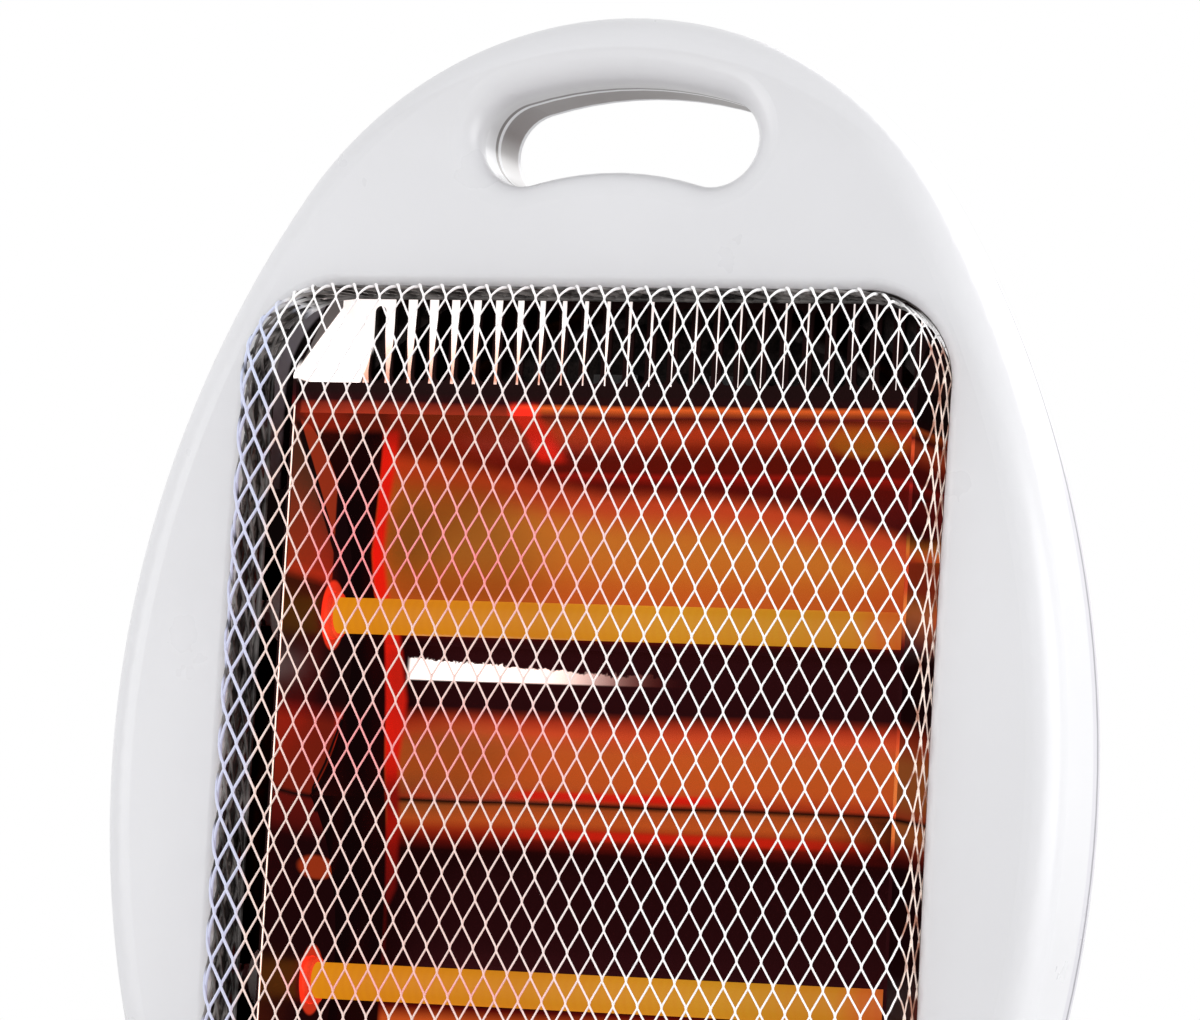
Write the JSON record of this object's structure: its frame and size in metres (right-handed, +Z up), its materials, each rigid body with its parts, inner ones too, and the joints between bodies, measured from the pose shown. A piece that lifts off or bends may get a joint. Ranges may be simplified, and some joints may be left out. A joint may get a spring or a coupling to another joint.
{
  "type": "quartz heater",
  "caption": "Free-standing quartz heater: oval body with a hand-hold, a mesh guard over glowing tubes in polished troughs, rocker switches and a wide foot with a tip-over switch.",
  "frame": {"origin": "on the floor, under the middle of the foot", "axes": "+Z up, -Y out of the guard towards the user, +X to the right as one faces the heater"},
  "size_m": [0.27, 0.13, 0.413],
  "materials": {
    "housing": "light grey glossy moulding",
    "foot": "light grey glossy moulding",
    "guard": "bright plated steel",
    "reflector": "polished sheet",
    "plate": "plain sheet steel",
    "quartz": "clear quartz",
    "coil": "resistance wire, glowing",
    "ceramic": "unglazed white ceramic",
    "fastener": "zinc-plated steel",
    "switch": "black moulding",
    "rocker": "black moulding",
    "inlet": "black moulded bushing",
    "block": "white moulding",
    "pad": "black rubber",
    "plunger": "natural nylon",
    "spring": "spring steel"
  },
  "bodies": {
    "heater": {"front_housing": "housing", "rear_housing": "housing", "grille_frame": "guard", "grille_mesh": "guard", "upper_reflector": "reflector", "lower_reflector": "reflector", "left_side_plate": "plate", "right_side_plate": "plate", "upper_quartz_tube": "quartz", "lower_quartz_tube": "quartz", "upper_heating_coil": "coil", "lower_heating_coil": "coil", "upper_left_end_cap": "ceramic", "upper_right_end_cap": "ceramic", "lower_left_end_cap": "ceramic", "lower_right_end_cap": "ceramic", "tube_terminals": "fastener", "left_switch_body": "switch", "right_switch_body": "switch", "cord_gland": "inlet", "cord_clamp": "block", "cord_clamp_screws": "fastener", "terminal_block": "block", "thermal_cutout": "fastener", "reflector_screws": "fastener", "housing_screws": "fastener", "base_foot": "foot", "foot_pads": "pad", "base_screws": "fastener", "plunger_spring": "spring", "tip_over_bracket": "plate", "tip_over_switch": "switch", "tip_over_screws": "fastener"},
    "left_rocker": {"left_rocker": "rocker"},
    "right_rocker": {"right_rocker": "rocker"},
    "tip_over_plunger": {"tip_over_plunger": "plunger"},
    "tip_over_lever": {"tip_over_lever": "spring"}
  },
  "joints": [
    {"name": "left_rocker_tilt", "type": "hinge", "parent": "heater", "child": "left_rocker", "pos_m": [-0.017, 0.0335, 0.312], "axis": [1, 0, 0], "range_deg": [0, 20]},
    {"name": "right_rocker_tilt", "type": "hinge", "parent": "heater", "child": "right_rocker", "pos_m": [0.017, 0.0335, 0.312], "axis": [1, 0, 0], "range_deg": [0, 20]},
    {"name": "plunger_slide", "type": "slide", "parent": "heater", "child": "tip_over_plunger", "axis": [0, 0, -1], "range_m": [0, 0.004], "stiffness_N_per_m": 150, "springref_m": 0.01, "deforming": ["plunger_spring"]},
    {"name": "lever_swing", "type": "hinge", "parent": "heater", "child": "tip_over_lever", "pos_m": [-0.012, -0.0252, 0.0444], "axis": [0, 1, 0], "range_deg": [0, 16]}
  ],
  "couplings": [
    {"joint": "lever_swing", "follows": "plunger_slide", "rad_per_m": 69}
  ]
}
